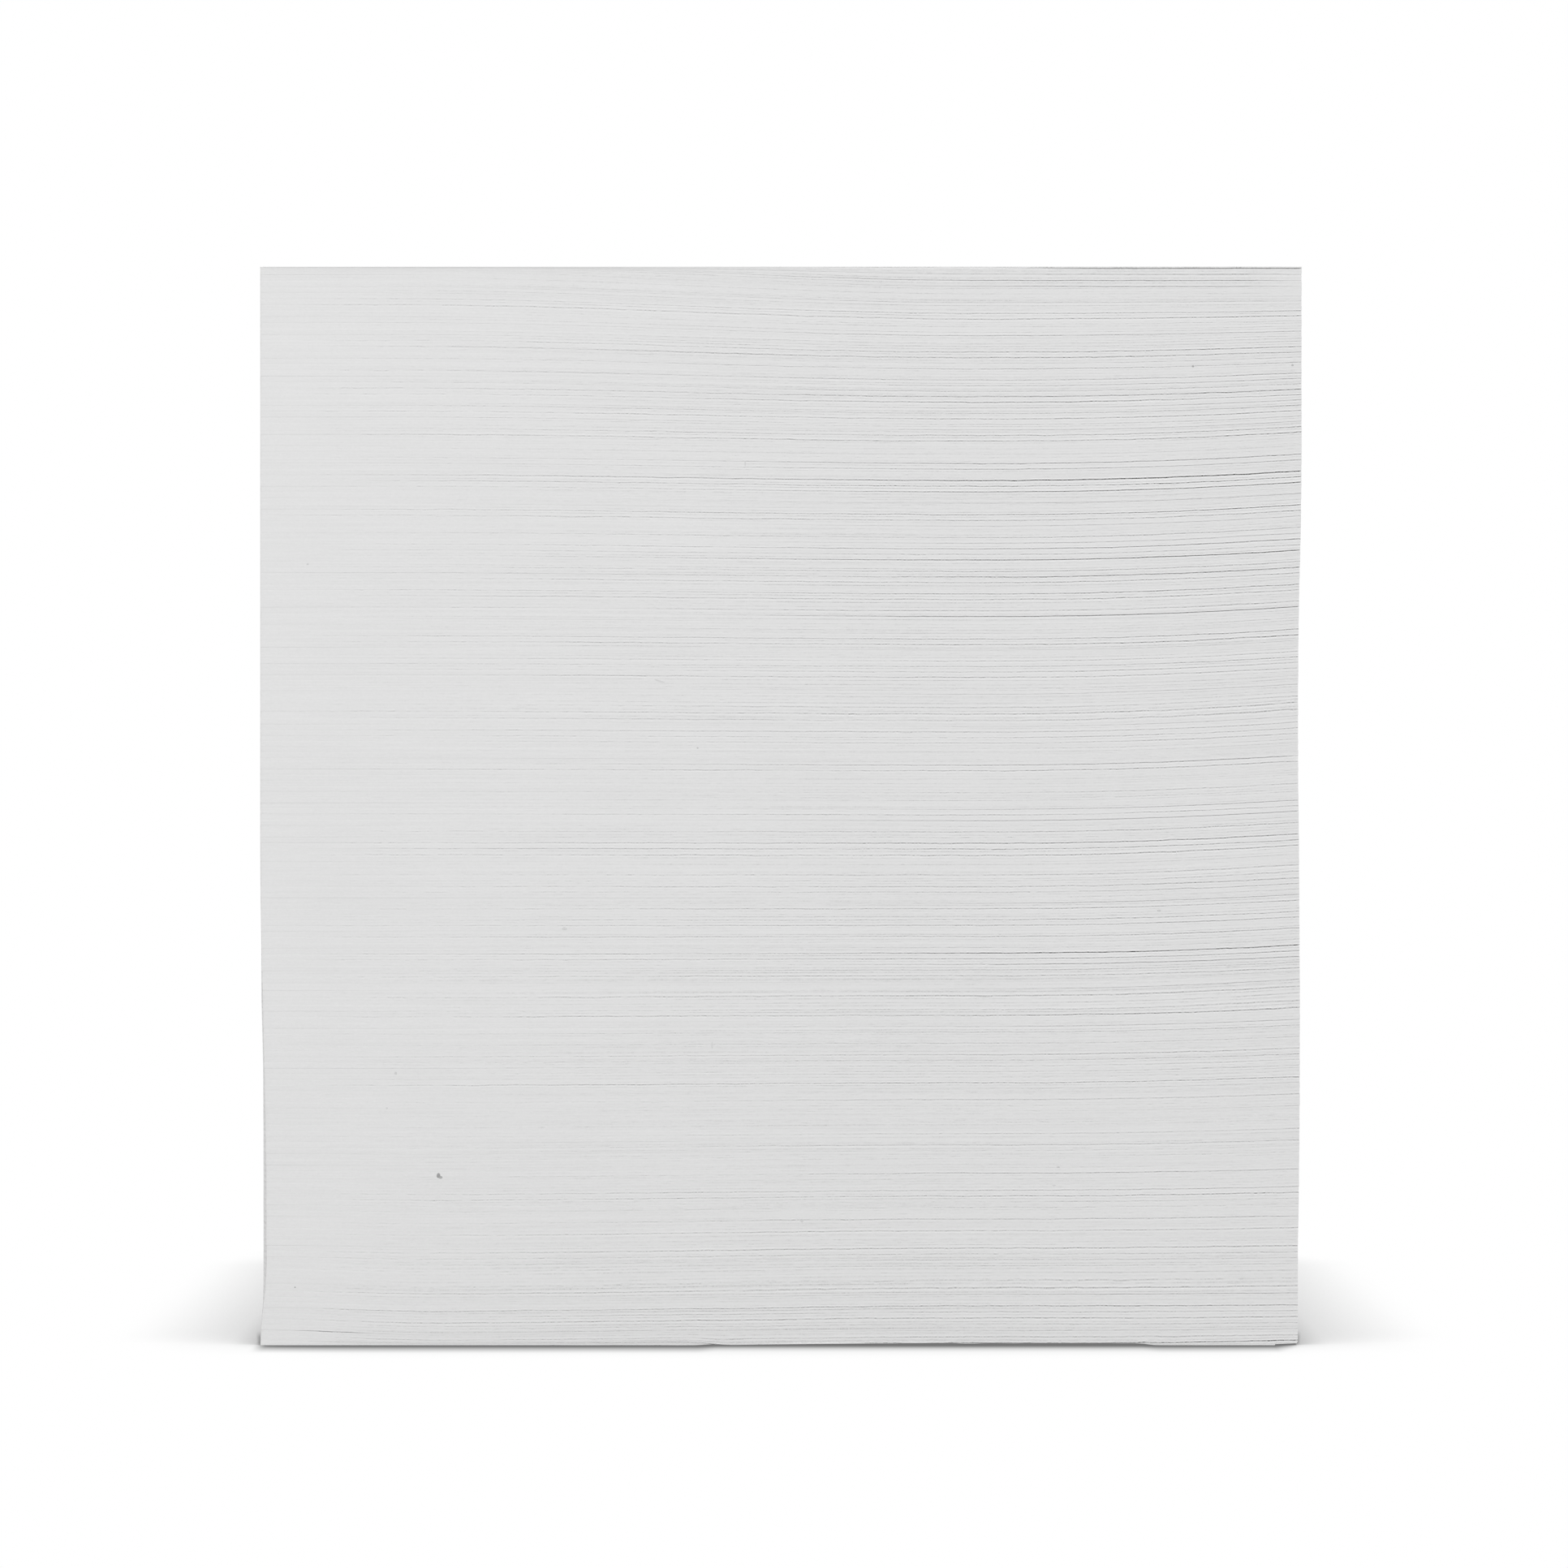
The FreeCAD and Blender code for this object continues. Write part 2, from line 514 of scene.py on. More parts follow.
@dataclass(frozen=True)
class CutPaperEdge(Finish):
    """The guillotined sheet edges: matte, with painted shade in the lines where lifts and sheets part, over
    their real gaps, and a painted highlight beside each lift line.

    The lifts' and the lines' depth are how dark their painted shade is where fully open. Cores, the
    highlight's span, the wobble and the jag are distances from a line, in sheets. A spread is how far a tone
    goes to both sides.
    """

    name: ClassVar[str] = "cut_paper_edge"
    paper: float = 0.79
    roughness: float = 0.92
    specular: float = 0.25
    # Painted shade: how dark the lift lines and the sheet lines are, and their cores.
    lift_depth: float = 0.25
    lift_core: Pair = (0.05, 0.85)
    line_depth: float = 0.21
    line_core: Pair = (0.05, 0.60)
    # Painted highlight beside the lift lines, and its span.
    burr_highlight: float = 0.38
    burr_highlight_span: Triple = (0.5, 1.1, 1.9)
    wobble: float = 0.55
    wobble_grain: Grain = Grain(330.0, 3.0, 0.6)
    jag: float = 0.20
    jag_grain: Grain = Grain(2300.0, 3.0, 0.75)
    long_dash: Grain = Grain(620.0, 2.0, 0.7)
    middle_dash: Grain = Grain(1500.0, 2.0, 0.6)
    middle_share: Pair = (0.55, 1.40)
    short_dash: Grain = Grain(5200.0, 2.0, 0.7)
    short_share: Pair = (0.10, 1.85)
    dash_closed: float = 0.72
    dash_open: float = 1.1
    dash_fade: float = 0.40
    lift_spread: float = 0.009
    lift_grain: Grain = Grain(60.0, 2.0, 0.6)
    streak_spread: float = 0.014
    streak_grain: Grain = Grain(170.0, 3.0, 0.7)
    cloud_spread: float = 0.006
    cloud_grain: Grain = Grain(90.0, 3.0, 0.5)
    fine_spread: float = 0.017
    fine_grain: Grain = Grain(6200.0, 2.0, 0.6, (0.7, 0.7, 1.0))
    fibre_grain: Grain = Grain(2600.0, 3.0, 0.6, (1.0, 1.0, 2.5))
    fibre_strength: float = 0.35
    fibre_depth: float = 0.004

    def surface(self, board: NodeBoard) -> Signal:
        """Lay out the nodes, which read Object coordinates and the numbers kept on the vertices.

        Args:
            board: The material's nodes.

        Returns:
            The shader.
        """
        count = board.kept(SHEET_ATTRIBUTE)
        # Painted shade of the lines between lifts and sheets, with a painted highlight beside the lift lines.
        drawn = self.lift_line_shade_and_highlight(board, count) - self.sheet_line_shade(board, count)
        level = (1.0 + drawn) * self.tone(board, count) * self.paper
        bump = board.bump(board.noise(self.fibre_grain), self.fibre_strength, self.fibre_depth)
        return board.solid(level, self.roughness, self.specular, bump)

    def broken(self, board: NodeBoard, line: Signal, opening: Signal) -> Signal:
        """How much of a line shows: short dashes where sheets lie close, nearly all of it where they part.

        Args:
            board: The material's nodes.
            line: Number of the line.
            opening: How far open it is, about 1 at the loose side.

        Returns:
            The share, times the opening.
        """
        long_noise = board.fit(board.edge_noise(line, self.long_dash), NOISE_CORE, (0.0, 1.0))
        middle_noise = board.fit(board.edge_noise(line, self.middle_dash), NOISE_CORE, self.middle_share)
        short_noise = board.fit(board.edge_noise(line, self.short_dash), NOISE_CORE, self.short_share)
        closed = self.dash_closed - opening * self.dash_open
        shown = board.fit(long_noise - closed, (0.0, self.dash_fade), (0.0, 1.0))
        return shown * (middle_noise * short_noise) * opening

    def away(self, board: NodeBoard, count: Signal, line: Signal) -> Signal:
        """Distance from a line in sheets, with the small jags where the knife has torn the fibres."""
        jags = board.spread(board.edge_noise(line, self.jag_grain), 0.0, self.jag)
        return board.math("ABSOLUTE", count + jags - line)

    def lift_line_shade_and_highlight(self, board: NodeBoard, count: Signal) -> Signal:
        """Painted shade on the line between two lifts of sheets, and a painted highlight on both sides of it.

        Args:
            board: The material's nodes.
            count: Place among the sheets, a whole number on each line.

        Returns:
            A part to add to 1.
        """
        line = board.math("ROUND", count / SHEETS_IN_LIFT) * SHEETS_IN_LIFT
        sway = board.spread(board.edge_noise(line, self.wobble_grain), 0.0, self.wobble)
        away = self.away(board, count + sway, line)
        start, middle, end = self.burr_highlight_span
        # Painted highlight of the burr on both sides of the line, less the painted shade in its core.
        highlight_ridge = board.fit(away, (start, middle), (0.0, self.burr_highlight), Fade.SMOOTH)
        highlight_ridge = highlight_ridge * board.fit(away, (middle, end), (1.0, 0.0), Fade.SMOOTH)
        shape = highlight_ridge - board.fit(away, self.lift_core, (1.0, 0.0), Fade.SMOOTH)
        return shape * (self.broken(board, line, board.kept(LIFT_ATTRIBUTE)) * self.lift_depth)

    def sheet_line_shade(self, board: NodeBoard, count: Signal) -> Signal:
        """Painted shade on the fine lines between the sheets inside a lift, over their thin real gaps.

        Args:
            board: The material's nodes.
            count: Place among the sheets, a whole number on each line.

        Returns:
            A part to take from 1.
        """
        line = board.math("ROUND", count)
        core = board.fit(self.away(board, count, line), self.line_core, (1.0, 0.0), Fade.SMOOTH)
        return core * (self.broken(board, line, board.kept(LINE_ATTRIBUTE)) * self.line_depth)

    def tone(self, board: NodeBoard, count: Signal) -> Signal:
        """The small differences of tone from sheet to sheet, clouds over the whole face, and fine grain.

        Args:
            board: The material's nodes.
            count: Place among the sheets.

        Returns:
            A factor around 1.
        """
        lift = board.math("FLOOR", count / SHEETS_IN_LIFT)
        sheet = board.math("FLOOR", count)
        band = board.spread(board.edge_noise(lift, self.lift_grain), 1.0, self.lift_spread)
        streak = board.spread(board.edge_noise(sheet, self.streak_grain), 1.0, self.streak_spread)
        cloud = board.spread(board.noise(self.cloud_grain), 1.0, self.cloud_spread)
        fine = board.spread(board.noise(self.fine_grain), 1.0, self.fine_spread)
        return band * streak * (cloud * fine)


@dataclass(frozen=True)
class PaperFace(Finish):
    """The flat face of a sheet: uncoated white paper with a faint cloudy formation and fibre grain."""

    name: ClassVar[str] = "paper_face"
    paper: float = 0.80
    roughness: float = 0.88
    specular: float = 0.3
    cloud_spread: float = 0.012
    cloud_grain: Grain = Grain(420.0, 5.0, 0.6)
    fibre_grain: Grain = Grain(2400.0, 5.0, 0.65, (1.0, 2.2, 1.0))
    fibre_strength: float = 0.5
    fibre_depth: float = 0.010

    def surface(self, board: NodeBoard) -> Signal:
        """Lay out the nodes, which read Object coordinates.

        Args:
            board: The material's nodes.

        Returns:
            The shader.
        """
        level = board.spread(board.noise(self.cloud_grain), 1.0, self.cloud_spread) * self.paper
        bump = board.bump(board.noise(self.fibre_grain), self.fibre_strength, self.fibre_depth)
        return board.solid(level, self.roughness, self.specular, bump)


@dataclass(frozen=True)
class DriedGlue(Finish):
    """The dried skin of padding glue: white, satin, brushed on, with the sheet edges showing through. Its
    grey, below the paper's, is partly the glue's own tone and partly the glued side's shade painted in.

    The lifts' and the sheets' print are each how dark the strongest lines are, and half a line's width as a
    share of the pitch.
    """

    name: ClassVar[str] = "dried_padding_glue"
    # The glue's own tone, darkened further by painted shade for the glued side.
    body: float = 0.67
    roughness: float = 0.44
    specular: float = 0.4
    brush_grain: Grain = Grain(700.0, 4.0, 0.6, (1.0, 1.0, 0.10))
    brush_spread: float = 0.028
    smear_grain: Grain = Grain(160.0, 3.0, 0.6, (1.0, 1.0, 0.5))
    smear_span: Pair = (0.50, 0.72)
    smear_lift: float = 0.035
    pore_grain: Grain = Grain(900.0, 3.0, 0.5)
    sheet: float = 0.1007
    lift_print: Pair = (0.15, 0.30)
    sheet_print: Pair = (0.09, 0.45)
    print_core: float = 0.03
    print_grain: Grain = Grain(160.0, 4.0, 0.7)
    print_span: Pair = (0.38, 0.62)
    print_relief: float = 4.0
    bump_strength: float = 0.5
    bump_depth: float = 0.02

    def surface(self, board: NodeBoard) -> Signal:
        """Lay out the nodes, which read Object coordinates.

        Args:
            board: The material's nodes.

        Returns:
            The shader.
        """
        brushed = board.noise(self.brush_grain)
        streak = board.spread(brushed, 1.0, self.brush_spread)
        smear = board.fit(board.noise(self.smear_grain), self.smear_span, (0.0, self.smear_lift))
        prints = (self.edges_under(board, self.sheet * SHEETS_IN_LIFT, *self.lift_print)
                  + self.edges_under(board, self.sheet, *self.sheet_print))
        under = prints * (1.0 - smear / self.smear_lift)
        height = brushed + board.noise(self.pore_grain) - under * self.print_relief
        bump = board.bump(height, self.bump_strength, self.bump_depth)
        return board.solid((streak + smear - under) * self.body, self.roughness, self.specular, bump)

    def edges_under(self, board: NodeBoard, pitch: float, depth: float, width: float) -> Signal:
        """Faint broken lines at an even pitch, where the edges of the sheets show through.

        Args:
            board: The material's nodes.
            pitch: Distance between two lines.
            depth: How dark the strongest lines are.
            width: Half the width of a line, as a share of the pitch.

        Returns:
            A part to take from 1.
        """
        count = board.along("Z") / pitch
        line = board.math("ROUND", count)
        away = board.math("ABSOLUTE", count - line)
        core = board.fit(away, (self.print_core, width), (1.0, 0.0), Fade.SMOOTH)
        return core * board.fit(board.edge_noise(line, self.print_grain), self.print_span, (0.0, depth))


@dataclass(frozen=True)
class FleckFinish(Finish):
    """A fleck of bark, dust or torn fibre in a cut edge, which fades into the paper at its rim."""

    name: ClassVar[str] = "fleck"
    paper: float = 0.79
    roughness: float = 0.92
    specular: float = 0.25
    mottle: float = 0.05
    mottle_grain: Grain = Grain(9000.0, 2.0, 0.5)

    def surface(self, board: NodeBoard) -> Signal:
        """Lay out the nodes, which read Object coordinates and the tone kept on the vertices."""
        mottled = board.spread(board.noise(self.mottle_grain), 1.0, self.mottle, NOISE_CORE)
        return board.solid(board.kept(TONE_ATTRIBUTE) * mottled * self.paper, self.roughness, self.specular)


# --- How the block lies ---


@dataclass(frozen=True)
class BlockSize:
    """The block's box, from the CAD frame, in millimetres, and the thickness of its glue film."""

    low: Triple
    high: Triple
    film: float

    @classmethod
    def from_frame(cls) -> "BlockSize":
        """Read the two CAD solids.

        Returns:
            The size of the whole pad, and the thickness of its glue film.
        """
        sheets_low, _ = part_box("sheet_block")
        film_low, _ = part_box("padding_glue")
        low, high = (tuple(round(v / MM, SIZE_DIGITS) for v in corner) for corner in CAD_BOX)
        return cls(low=low, high=high, film=round((sheets_low[X] - film_low[X]) / MM, SIZE_DIGITS))

    @property
    def height(self) -> float:
        """From the floor to the top sheet."""
        return self.high[Z] - self.low[Z]

    @property
    def depth(self) -> float:
        """From the front face to the back."""
        return self.high[Y] - self.low[Y]

    @property
    def front(self) -> float:
        """Place of the front face along y."""
        return self.low[Y]

    @property
    def sheet_start(self) -> float:
        """Place of the sheets' glued side along x, inside the film."""
        return self.low[X] + self.film

    def across(self, x: Array) -> Array:
        """Share of the width, 0 at the glued side and 1 at the loose side."""
        return (x - self.low[X]) / (self.high[X] - self.low[X])


@dataclass(frozen=True)
class PressedCorner:
    """The lower front corner of the glued side, pushed in a little by a knock."""

    depth: float = 0.5
    fade_up: Ramp = Ramp(44.0, -34.0)
    fade_down: Ramp = Ramp(0.0, 7.0)
    reach: float = 3.6
    short_reach: float = 0.6
    reach_fade: Ramp = Ramp(34.0, -12.0)
    film_edge: float = 0.03
    film_full: Ramp = Ramp(0.0, 2.5)

    def film_at(self, behind_front: Array, film: float) -> Array:
        """Thickness of the glue film, which runs out thin at the front edge."""
        return self.film_edge + (film - self.film_edge) * self.film_full.at(behind_front)

    def inset(self, behind_front: Array, height: Array) -> Array:
        """How far the glued side is pushed in.

        Args:
            behind_front: Distance behind the front face.
            height: Height above the floor.

        Returns:
            The inset towards +x.
        """
        at_corner = self.depth * self.fade_up.at(height) * self.fade_down.at(height)
        reach = self.short_reach + (self.reach - self.short_reach) * self.reach_fade.at(height)
        return at_corner * np.clip(1.0 - behind_front / reach, 0.0, 1.0) ** 2


@dataclass(frozen=True)
class LooseEdge:
    """The upright outline of the loose side, which drifts in and out a little down the block.

    Each mark is a height and how far the side stands in there. The nudges round the marks off.
    """

    marks: tuple[Pair, ...] = (
        (0.0, 0.33), (9.0, 0.31), (15.0, 0.21), (20.0, 0.16), (30.0, 0.145), (37.0, 0.19), (43.0, 0.22),
        (50.0, 0.30), (57.0, 0.30), (62.0, 0.26), (67.0, 0.15), (71.0, 0.06), (75.0, 0.0), (94.0, 0.0))
    nudges: tuple[float, ...] = (-1.2, -0.4, 0.4, 1.2)
    corner_depth: float = 0.16
    corner_height: float = 0.50

    def inset(self, height: Array) -> Array:
        """How far the loose side stands in from the pad's full width.

        Args:
            height: Height above the floor.

        Returns:
            The inset towards -x.
        """
        heights, insets = np.array(self.marks).T
        drift = sum(np.interp(height + nudge, heights, insets) for nudge in self.nudges) / len(self.nudges)
        return drift + self.corner_depth * np.clip(1.0 - height / self.corner_height, 0.0, 1.0) ** 2


@dataclass(frozen=True)
class Parting:
    """A place where two lifts of sheets stand visibly apart.

    Height is the line's place in the even stack, opening is how far it gapes, start is the share of the
    width, from the glued side, where it has opened.
    """

    height: float
    opening: float
    start: float


@dataclass
class Spots:
    """Points on the lines between sheets: the line's number, 0 on the floor, and the places along x and y."""

    line: Array
    x: Array
    y: Array

    @property
    def run(self) -> Array:
        """Place along the sheet's edge, which goes on round the corners."""
        return self.x + SIDE_RUN * self.y


@dataclass(frozen=True)
class SheetLie:
    """How the sheets lie: even at the glued side, sagging towards the middle, and lifted at the loose end.

    A height in the even stack is one that a line would have if all sheets lay flat and close. Each mark in
    drift is a height and how much lower than that the lines lie round it.
    """

    block: BlockSize
    sheets: int = 940
    spare: float = 1.48
    squeeze_depth: float = 0.6
    squeeze_power: float = 5.0
    sag_foot: float = -0.57
    sag_rise: float = 1.33
    sag_top: float = 0.72
    sag_top_start: float = 0.80
    sag_ramp: Ramp = Ramp(0.125, 0.57)
    lift_most: float = 0.91
    lift_height: float = 0.634
    lift_start: float = 0.70
    lift_power: int = 4
    foot_sag: float = 0.57
    foot_fade: float = 0.09
    foot_ramp: Ramp = Ramp(0.0, 0.174)
    sway: Wave = Wave(0.020, 8.0, 3.0)
    sway_lifts: int = 2
    drift: tuple[Pair, ...] = (
        (0.0, 0.0), (1.0, 0.16), (5.0, 0.32), (6.6, -0.11), (12.0, -0.06), (29.4, 0.34), (31.5, -0.11),
        (36.0, 0.0), (40.5, 0.18), (42.7, -0.13), (46.0, -0.08), (54.0, 0.23), (56.4, -0.12), (60.7, 0.11),
        (70.0, 0.27), (83.0, 0.38), (92.6, 0.17), (93.2, 0.0))

    arch_sheets: int = 5
    arch: float = 0.17
    arch_begin: Ramp = Ramp(0.415, 0.03)
    arch_end: Ramp = Ramp(0.863, -0.02)
    arch_ragged: tuple[Wave, ...] = (Wave(0.030, 2.3, 31.0), Wave(0.018, 0.8, 32.0))
    after_arch: Ramp = Ramp(0.853, 0.03)
    settle_depth: float = 0.36
    settle_fade: float = 1.2
    settle_ramp: Ramp = Ramp(0.405, 0.05)
    foot_press: float = 0.6
    tail_start: float = 0.87
    tail_rise: float = 0.13
    tail_end: float = 0.976

    loose_glued: float = 0.20
    loose_by_height: tuple[Pair, ...] = (
        (0.0, 0.62), (0.14, 0.62), (0.24, 0.88), (0.36, 0.95), (0.50, 0.82), (0.60, 0.78), (0.68, 0.95),
        (1.0, 0.98))
    glue_ramp: Ramp = Ramp(0.0, 0.10)
    foot_loose: float = 1.35
    foot_loose_loss: float = 0.75
    foot_loose_fade: float = 0.10
    gap_seed: float = 11.0
    half_seed: float = 13.0
    half_sheet: int = 2
    lift_draw: Draw = Draw(0.26, 1.30, 1.6)
    half_draw: Draw = Draw(0.55, 0.60, 1.0)
    sheet_draw: Draw = Draw(0.0, 0.62, 1.5)
    sheet_loss: float = 0.35
    sheet_ramp: Ramp = Ramp(0.55, 0.30)
    swell: tuple[Wave, ...] = (Wave(0.22, 11.0, 5.0), Wave(0.14, 4.3, 6.0))
    top_close: float = 0.60
    top_close_up: Ramp = Ramp(0.965, 0.01)
    top_close_across: Ramp = Ramp(0.955, 0.03)
    usual_gap: float = 0.008
    top_gap: float = 0.045
    top_gap_ramp: Ramp = Ramp(0.70, 0.12)
    foot_gap: float = 0.012
    parting_run: float = 0.30
    parting_least: float = 0.30
    parting_ramp: Ramp = Ramp(0.42, 0.42)
    parting_shown: float = 18.0
    partings: tuple[Parting, ...] = tuple(Parting(*each) for each in (
        (94.1, 0.016, 0.30), (93.6, 0.024, 0.35), (93.1, 0.021, 0.62), (88.8, 0.010, 0.10),
        (86.3, 0.006, 0.30), (84.3, 0.010, 0.50), (83.3, 0.010, 0.50), (82.2, 0.011, 0.35),
        (80.2, 0.010, 0.30), (77.3, 0.013, 0.45), (76.3, 0.011, 0.35), (75.3, 0.032, 0.40),
        (74.3, 0.019, 0.55), (73.3, 0.014, 0.35), (72.3, 0.008, 0.50), (71.3, 0.011, 0.50),
        (69.8, 0.010, 0.50), (69.3, 0.014, 0.40), (68.3, 0.026, 0.45), (66.9, 0.016, 0.60),
        (65.4, 0.006, 0.50), (63.4, 0.032, 0.45), (60.4, 0.007, 0.50), (56.6, 0.010, 0.45),
        (53.7, 0.006, 0.60), (50.4, 0.011, 0.30), (46.5, 0.010, 0.55), (45.5, 0.021, 0.45),
        (43.5, 0.010, 0.50), (38.2, 0.008, 0.60), (33.9, 0.022, 0.60), (32.9, 0.018, 0.66),
        (30.9, 0.013, 0.66), (27.9, 0.010, 0.30), (22.1, 0.006, 0.40), (21.1, 0.006, 0.40),
        (17.1, 0.006, 0.35), (14.4, 0.010, 0.45), (10.8, 0.006, 0.35), (6.2, 0.007, 0.20),
        (4.3, 0.016, 0.35), (3.3, 0.008, 0.15), (1.5, 0.010, 0.04)))
    short_parting: Parting = Parting(1.5, 0.027, 0.02)
    short_begin: float = 0.04
    short_end: Ramp = Ramp(0.125, -0.05)

    @property
    def pitch(self) -> float:
        """Height of one sheet in the even stack."""
        return (self.block.height + self.spare) / self.sheets

    def sink(self, across: Array, up: Array | float) -> Array:
        """How far a sheet lies below its place in the even stack.

        Args:
            across: Share of the width.
            up: Share of the height.

        Returns:
            The sink, which is negative where the sheets are lifted.
        """
        sag = self.sag_foot + self.sag_rise * up + self.sag_top * beyond(up, self.sag_top_start) ** 2
        below = np.clip((self.lift_height - up) / self.lift_height, 0.0, 1.0)
        above = beyond(up, self.lift_height)
        lift = self.lift_most * (1.0 - below ** 2) * (1.0 - above ** self.lift_power)
        foot = self.foot_sag * np.exp(-up / self.foot_fade) * self.foot_ramp.at(across)
        return sag * self.sag_ramp.at(across) - lift * beyond(across, self.lift_start) ** 2 + foot

    def squeeze(self, depth: Array, beyond_edge: Array) -> Array:
        """Press the sheets that would stand out of the top or the foot back inside, never to nothing.

        Args:
            depth: Depth inside the top or the foot, less than 0 outside it.
            beyond_edge: Depth of the outermost sheet there.

        Returns:
            The new depth, 0 for the outermost sheet and unchanged from squeeze_depth inwards.
        """
        least = np.minimum(beyond_edge, 0.0)
        span = self.squeeze_depth - least
        share = np.clip((depth - least) / span, 0.0, 1.0)
        even = (self.squeeze_power - span / self.squeeze_depth) / (self.squeeze_power - 1.0)
        pressed = self.squeeze_depth * (even * share + (1.0 - even) * share ** self.squeeze_power)
        return np.where(depth < self.squeeze_depth, pressed, depth)

    def free_height(self, at: Spots) -> Array:
        """Height of the lines between sheets, before the lowest ones settle on the floor.

        Args:
            at: The spots.

        Returns:
            Their heights above the floor.
        """
        total = self.block.height
        across = self.block.across(at.x)
        even = at.line * self.pitch
        height = even - self.sink(across, np.clip(even / total, 0.0, 1.0))
        lane = np.floor(at.line / (self.sway_lifts * SHEETS_IN_LIFT))
        height = height + self.sway.at(at.run, lane) * self.looseness(across, even / total)
        height = total - self.squeeze(total - height, self.sink(across, 1.0) - self.spare)
        height = self.squeeze(height, -self.sink(across, 0.0))
        heights, lower = np.array(self.drift).T
        return height - np.interp(height, heights, lower)

    def line_height(self, at: Spots) -> Array:
        """Height of the lines between sheets, with the lowest sheets arched off the floor.

        Args:
            at: The spots.

        Returns:
            Their heights above the floor.
        """
        across = self.block.across(at.x)
        height = self.free_height(Spots(np.maximum(at.line, float(self.arch_sheets)), at.x, at.y))
        settled = self.settle_ramp.at(across) * (1.0 - beyond(across, self.tail_start))
        height = height - settled * self.settle_depth * np.exp(-height / self.settle_fade)
        ragged = sum(wave.at(at.run) for wave in self.arch_ragged)
        under = (self.arch + ragged) * self.arch_begin.at(across) * self.arch_end.at(across)
        share = np.clip(at.line / self.arch_sheets, 0.0, 1.0)
        pressed = share * (1.0 - self.foot_press * (1.0 - share) * self.after_arch.at(across))
        return under + (height - under) * pressed

    def corner_rise(self, at: Spots, is_long: Array) -> Array:
        """How far the lowest full-length sheets bend up past the ends of the short ones.

        Args:
            at: The spots.
            is_long: Whether the sheet has its full length.

        Returns:
            The rise.
        """
        turned_up = beyond(self.block.across(at.x), self.tail_end)
        share = np.clip(at.line / self.arch_sheets, 0.0, 1.0)
        return np.where(is_long, self.tail_rise * turned_up * (1.0 - share), 0.0)

    def looseness(self, across: Array, up: Array) -> Array:
        """How freely the sheets lie, from 0 in the glue to about 1 at the loose side.

        Args:
            across: Share of the width.
            up: Share of the height.

        Returns:
            The looseness.
        """
        heights, shares = np.array(self.loose_by_height).T
        by_width = self.loose_glued + (1.0 - self.loose_glued) * across
        at_foot = self.foot_loose * np.sqrt(np.clip(across, 0.0, 1.0)) * (1.0 - self.foot_loose_loss * across)
        at_foot = at_foot * np.exp(-up / self.foot_loose_fade)
        return self.glue_ramp.at(across) * (by_width * np.interp(up, heights, shares) + at_foot)

    def opening(self, at: Spots) -> Array:
        """How open a line between two sheets is, as a share of a usual lift line at the loose side.

        Args:
            at: The spots.

        Returns:
            The opening.
        """
        across = self.block.across(at.x)
        in_lift = np.mod(at.line, SHEETS_IN_LIFT)
        throw = dice(at.line, 0.0, self.gap_seed)
        half = self.half_sheet + (dice(np.floor(at.line / SHEETS_IN_LIFT), 0.0, self.half_seed) > 0.5)
        inside = np.where(in_lift == half, self.half_draw.of(throw), self.sheet_draw.of(throw))
        inside = inside * (1.0 - self.sheet_loss * self.sheet_ramp.at(across))
        size = np.where(in_lift == 0, self.lift_draw.of(throw), inside) * self.closed_at_top(at)
        swell = 1.0 + sum(wave.at(at.run, at.line) for wave in self.swell)
        return size * swell * self.looseness(across, at.line / self.sheets)

    def closed_at_top(self, at: Spots) -> Array:
        """Share of their opening that lines keep where the topmost sheets are pressed at their loose end."""
        near_end = self.top_close_across.at(self.block.across(at.x))
        return 1.0 - self.top_close * self.top_close_up.at(at.line / self.sheets) * near_end

    def parted(self, at: Spots) -> Array:
        """How much further the sheets stand apart where lifts have parted.

        Args:
            at: The spots.

        Returns:
            The added gap.
        """
        across = self.block.across(at.x)
        wider = self.parting_least + (1.0 - self.parting_least) * self.parting_ramp.at(across)
        wider = wider * self.closed_at_top(at)
        short = Ramp(self.short_parting.start, self.short_begin).at(across) * self.short_end.at(across)
        reaches = [(self.short_parting, short)]
        for parting in self.partings:
            begin = Ramp(parting.start - 0.5 * self.parting_run, self.parting_run)
            reaches.append((parting, begin.at(across) * wider))
        apart = np.where(at.line == self.sheets - 1, self.top_gap * self.top_gap_ramp.at(across), 0.0)
        apart = apart + np.where(at.line == self.arch_sheets, self.foot_gap * self.after_arch.at(across), 0.0)
        for parting, reach in reaches:
            lift_line = round(parting.height / (self.pitch * SHEETS_IN_LIFT)) * SHEETS_IN_LIFT
            apart = apart + np.where(at.line == lift_line, parting.opening * reach, 0.0)
        return apart

    def gap(self, at: Spots) -> Array:
        """How far two sheets stand apart at a line."""
        return self.usual_gap * self.opening(at) + self.parted(at)

    def shown_opening(self, at: Spots) -> Array:
        """How strongly a line's painted shade is drawn: its opening, and more where the sheets have parted.
        """
        return self.opening(at) + self.parting_shown * self.parted(at)

    def mark_lines(self, mesh: bpy.types.Mesh, at: Spots) -> None:
        """Keep the line numbers and openings on a piece's vertices, which set the painted shade of the lines.

        Args:
            mesh: The piece's mesh.
            at: The spot of each vertex in the even stack.
        """
        lift_line = np.round(at.line / SHEETS_IN_LIFT) * SHEETS_IN_LIFT
        own = np.where(at.line == lift_line, 0.0, self.shown_opening(at))
        mark_vertices(mesh, SHEET_ATTRIBUTE, at.line)
        mark_vertices(mesh, LIFT_ATTRIBUTE, self.shown_opening(Spots(lift_line, at.x, at.y)))
        mark_vertices(mesh, LINE_ATTRIBUTE, own)


# --- Pieces ---


@dataclass(frozen=True)
class SheetCuts:
    """How finely the edges of a sheet are divided, in points between their ends."""

    front: int
    loose: int
    glued: int


